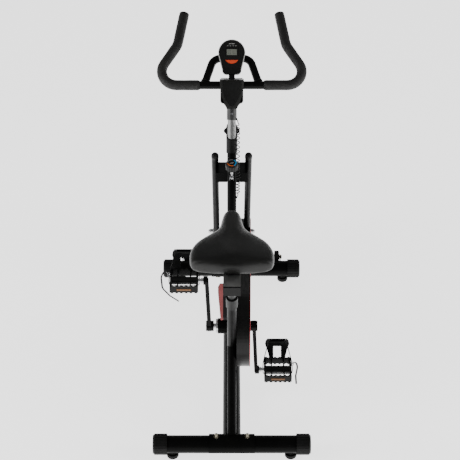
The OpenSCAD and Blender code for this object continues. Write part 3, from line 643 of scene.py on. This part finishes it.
def settled(obj, name, low):
    """Lets the cover fill out over its foam: a short cloth run with pressure, kept within a few millimetres."""
    remesh = obj.modifiers.new("remesh", "REMESH")
    remesh.mode, remesh.voxel_size = "VOXEL", 0.0045
    graph = bpy.context.evaluated_depsgraph_get()
    start = bpy.data.meshes.new_from_object(obj.evaluated_get(graph))
    soft = bpy.data.objects.new(name, start)
    bpy.context.scene.collection.objects.link(soft)
    rest = [v.co.copy() for v in start.vertices]
    held = soft.vertex_groups.new(name="held")
    held.add([i for i, co in enumerate(rest) if co.z < low], 1.0, "REPLACE")
    cloth = soft.modifiers.new("cloth", "CLOTH")
    settings = cloth.settings
    settings.quality, settings.mass = 6, 0.3
    settings.tension_stiffness = settings.compression_stiffness = settings.shear_stiffness = 30
    settings.bending_stiffness = 2.0
    settings.use_pressure, settings.uniform_pressure_force = True, 4.0
    settings.vertex_group_mass = "held"
    settings.effector_weights.gravity = 0
    scene = bpy.context.scene
    for number in range(1, 21):
        scene.frame_set(number)
    graph = bpy.context.evaluated_depsgraph_get()
    filled = [v.co.copy() for v in soft.evaluated_get(graph).data.vertices]
    soft.modifiers.remove(cloth)
    scene.frame_set(1)
    for vertex, before, after in zip(start.vertices, rest, filled):
        move = after - before
        vertex.co = before + move * min(1, 0.003 / max(move.length, 1e-9))
    bpy.data.objects.remove(obj)
    smooth = soft.modifiers.new("smooth", "SMOOTH")
    smooth.factor, smooth.iterations = 0.5, 6
    soft.modifiers.new("fine", "SUBSURF").render_levels = 1
    start.polygons.foreach_set("use_smooth", [True] * len(start.polygons))
    return soft


cover = settled(saddle_mesh("saddle_form"), "saddle_cover", SADDLE.z + 0.004)
dress(cover, "saddle", "saddle_vinyl")
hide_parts("saddle_cushion")


# ---------------------------------------------------------------- pedals: straps, buckles, reflectors

STRAP_TILT = math.radians(39)
STRAP_UP = Vector((0, math.sin(STRAP_TILT), math.cos(STRAP_TILT)))
STRAP_ACROSS = Vector((0, math.cos(STRAP_TILT), -math.sin(STRAP_TILT)))
# the free end of each strap, in the plane of its loop: outward and up, in millimetres
TAILS = {"left": ((50, 34), (61, 50), (74, 26), (70, -10), (46, -34), (17, -52)),
         "right": ((50, 34), (59, 46), (66, 22), (60, -8), (62, -34))}

for side, s in (("left", -1), ("right", 1)):
    body = side + "_pedal"
    pedal = Vector(JOINTS[side + "_pedal_spin"]["pos_m"])
    foot = pedal + Vector((0, 3.5, -21)) * MM

    def in_strap(x, z):
        return foot + RIGHT * s * x * MM + STRAP_UP * z * MM

    loop = [in_strap(x, z) for x, z in ((0, -1), (47, -1), (49, 14), (47, 40), (27, 113), (-27, 113),
                                        (-47, 40), (-49, 14), (-47, -1), (0, -1))]
    ring = spaced(rounded(loop, [b * MM for b in (0, 6, 20, 40, 16, 16, 40, 20, 6, 0)], 6), 0.006)[:-1]
    band = sweep("strap_band_" + side, ring, web_section(0.0022, 0.016), STRAP_ACROSS, closed=True)
    dress(band, body, "strap_web")
    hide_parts("strap_" + side)
    tail = [in_strap(x, z) for x, z in TAILS[side]]
    tail_path = spaced(rounded(tail, [0, 0.008, 0.022, 0.022, 0.022, 0][:len(tail) - 1] + [0]), 0.004)
    end = sweep("strap_tail_" + side, tail_path, web_section(0.0024, 0.0155), STRAP_ACROSS + RIGHT * s * 0.3)
    dress(end, body, "strap_web")
    buckle = sweep("buckle_" + side, [in_strap(x, z) for x, z in ((46, 26), (52, 28), (53, 38), (47, 40))],
                   web_section(0.0022, 0.020), STRAP_ACROSS, closed=True)
    add_bevel(buckle, 0.0006)
    dress(buckle, body, "bright_steel")
    for facing in (-1, 1):
        lens = plates(f"reflector_{side}_{'rear' if facing < 0 else 'front'}",
                      [box_outline(-22.5, -3.4, 22.5, 3.4)], pedal + Vector((0, facing * 0.047, 0)),
                      RIGHT * -facing, Vector((0, 0, 1)), Vector((0, facing, 0)), 0.0014)
        add_bevel(lens, 0.0005)
        dress(lens, body, "black_plastic", amber)


# ---------------------------------------------------------------- tension knob marks

def arc_band(r0, r1, a0, a1, steps=18):
    """Outline of a stretch of a flat ring, in millimetres and degrees."""
    turn = [math.radians(a0 + (a1 - a0) * k / steps) for k in range(steps + 1)]
    return ([(r1 * math.cos(a), r1 * math.sin(a)) for a in turn]
            + [(r0 * math.cos(a), r0 * math.sin(a)) for a in reversed(turn)])


KNOB_FAR = KNOB_AXIS.cross(RIGHT) * -1
if KNOB_FAR.y < 0:
    KNOB_FAR.negate()
MARKS = (("knob_less", [arc_band(11.2, 14.9, 190, 292)], ORANGE), ("knob_more", [arc_band(11.2, 14.9, -58, 62)], BLUE),
         ("knob_rim", [arc_band(11.2, 14.9, 72, 180)], SILVER),
         ("knob_sign", [box_outline(-7, -3.4, 3, -1.8), box_outline(-3, 0.6, 7, 2.2)], PALE))
for name, outlines, paint in MARKS:
    mark = plates(name, outlines, KNOB_TOP, RIGHT, KNOB_FAR, KNOB_AXIS, 0.0003)
    dress(mark, "tension_dial", "black_plastic", paint)


# ---------------------------------------------------------------- computer

FACE = middle("computer_lens") - FACE_UP * 0.0147 - INTO_FACE * 0.0005   # the front face's middle


def on_face(name, outlines, lift, paint, slot_name="black_plastic"):
    obj = plates(name, outlines, FACE, RIGHT, FACE_UP, -INTO_FACE, lift)
    return dress(obj, "bars", slot_name, paint)


FRAME_W, FRAME_H, LCD_Z = 19.5, 12.5, 14.7
on_face("lcd_frame", [box_outline(-FRAME_W, LCD_Z + 9.4, FRAME_W, LCD_Z + FRAME_H), box_outline(-FRAME_W, LCD_Z - FRAME_H, FRAME_W, LCD_Z - 9.4),
                      box_outline(-FRAME_W, LCD_Z - 9.4, -16.1, LCD_Z + 9.4), box_outline(16.1, LCD_Z - 9.4, FRAME_W, LCD_Z + 9.4)],
        0.0008, FINISH["guard_plastic"])
on_face("computer_marks", [box_outline(x, 34, x + 5, 35.2) for x in (-15, -7, 2, 10)] + [box_outline(-9, 40, 9, 42)], 0.00015, PALE)
digit = [box_outline(x, LCD_Z + z - 0.5, x + 3, LCD_Z + z + 0.5) for x in (-11, -6, 3, 8) for z in (-4, 0, 4)]
on_face("lcd_segments", digit, 0.00005, INK, "lcd")
for s, side in ((-1, "left"), (1, "right")):
    line = [FACE + RIGHT * s * x * MM + FACE_UP * z * MM - INTO_FACE * 0.0003 for x, z in ((40.4, 6), (36.2, -12), (28.6, -42))]
    dress(sweep("computer_trim_" + side, spaced(line, 0.004), circle(0.0014, 10), INTO_FACE), "bars", "black_plastic", TRIM)
rim = [FACE + RIGHT * 40.9 * math.cos(a) * MM + FACE_UP * (12.5 + 40.9 * math.sin(a)) * MM - INTO_FACE * 0.0002
       for a in (math.radians(4 * k) for k in range(-2, 48))]
dress(sweep("computer_rim", rim, circle(0.0007, 8), INTO_FACE), "bars", "black_plastic", PALE)


# ---------------------------------------------------------------- stem cover: a raised shield with a bright edge

STEM = on_upright(0, -36, 706)
SHIELD_H, SHIELD_TOP = 80, 30.5


def shield_side(u):
    return 4 + (SHIELD_TOP - 4) * (1 - (1 - u) ** 3)


shield = ([(shield_side(k / 16), 7 + SHIELD_H * k / 16) for k in range(17)]
          + [(-shield_side(k / 16), 7 + SHIELD_H * k / 16) for k in range(16, -1, -1)])
panel = plates("stem_panel", [shield], STEM, RIGHT, UP, -AHEAD, 0.0016)
add_bevel(panel, 0.0007, 3)
dress(panel, "bars", "guard_plastic")
screw = lathe("sleeve_screw", [(0.0042, -0.001), (0.0042, 0.0008), (0.0034, 0.0015), (0.0016, 0.0016), (0.0015, 0.0006)],
              [(on_upright(0, -31, 690), -AHEAD)], 20)
dress(screw, "bars", "dark_steel")


# ---------------------------------------------------------------- chain guard trim

GUARD_R = 0.1303
trim = []
for k in range(49):
    a = math.radians(250 - 170 * k / 48)
    y = GUARD_R * math.cos(a)
    trim.append(CRANK + Vector((0.0590 + 0.015 * y, y, GUARD_R * math.sin(a))))
run_end = AXLE + Vector((0.0665, 0.009, 0.0463))
dress(sweep("guard_trim", spaced(trim + [run_end], 0.008), circle(0.0012, 8), RIGHT), "frame", "red_plastic", RED)


# ---------------------------------------------------------------- curled sensor cord

WIRE = 0.0030
COIL_R = 0.0049
coil_x, coil_back = 19.5, -31.0
coil_low, coil_high, coil_change = 437.0, 660.0, 545.0
PER_TURN = 14


def coil_point(t, angle, radius):
    centre = on_upright(coil_x, coil_back, t)
    return centre + RIGHT * radius * math.cos(angle) + AHEAD * radius * math.sin(angle)


cord_path = [on_upright(13.2, -20.0, coil_low - 13), on_upright(16.5, -24.0, coil_low - 11.6)]
turns_low = round((coil_change - coil_low) / 8.8)
turns_high = round((coil_high - coil_change) / 14.5)
total = (turns_low + turns_high) * PER_TURN
for k in range(total + 1):
    turn = k / PER_TURN
    if turn <= turns_low:
        t = coil_low + (coil_change - coil_low) * turn / turns_low
    else:
        t = coil_change + (coil_high - coil_change) * (turn - turns_low) / turns_high
    ease = min(1, turn / 0.5, (turns_low + turns_high - turn) / 0.5)
    cord_path.append(coil_point(t, 2 * math.pi * turn + 1.2, COIL_R * (0.35 + 0.65 * ease)))
cord_path += [on_upright(17.5, -24.0, coil_high + 9), on_upright(13.8, -19.0, coil_high + 12)]
cord = sweep("sensor_cord_coil", cord_path, circle(WIRE / 2, 10), AHEAD + RIGHT * 0.3 + UP * 0.2)
cord.data.materials.append(FINISH["cord_jacket"])
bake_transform(cord)
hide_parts("sensor_cord")
for name, body, at, toward in (("cord_boot_low", "frame", cord_path[0], cord_path[1]),
                               ("cord_boot_high", "bars", cord_path[-1], cord_path[-2])):
    out = (toward - at).normalized()
    dress(lathe(name, [(0.0042, -0.004), (0.0044, 0.0), (0.0038, 0.0008), (0.0030, 0.0032)], [(at, out)]), body, "black_plastic")

# ---------------------------------------------------------------- floor

mesh_object("floor", [(-30, -30, 0), (30, -30, 0), (30, 30, 0), (-30, 30, 0)], [(0, 1, 2, 3)])
floor_paint = surface("floor_paint", (0.86, 0.86, 0.86), 0.7, spread=0.01)
floor_paint.shader.inputs["Emission Color"].default_value = (1, 1, 1, 1)
floor_paint.shader.inputs["Emission Strength"].default_value = 2.0
bpy.data.objects["floor"].data.materials.append(floor_paint.material)
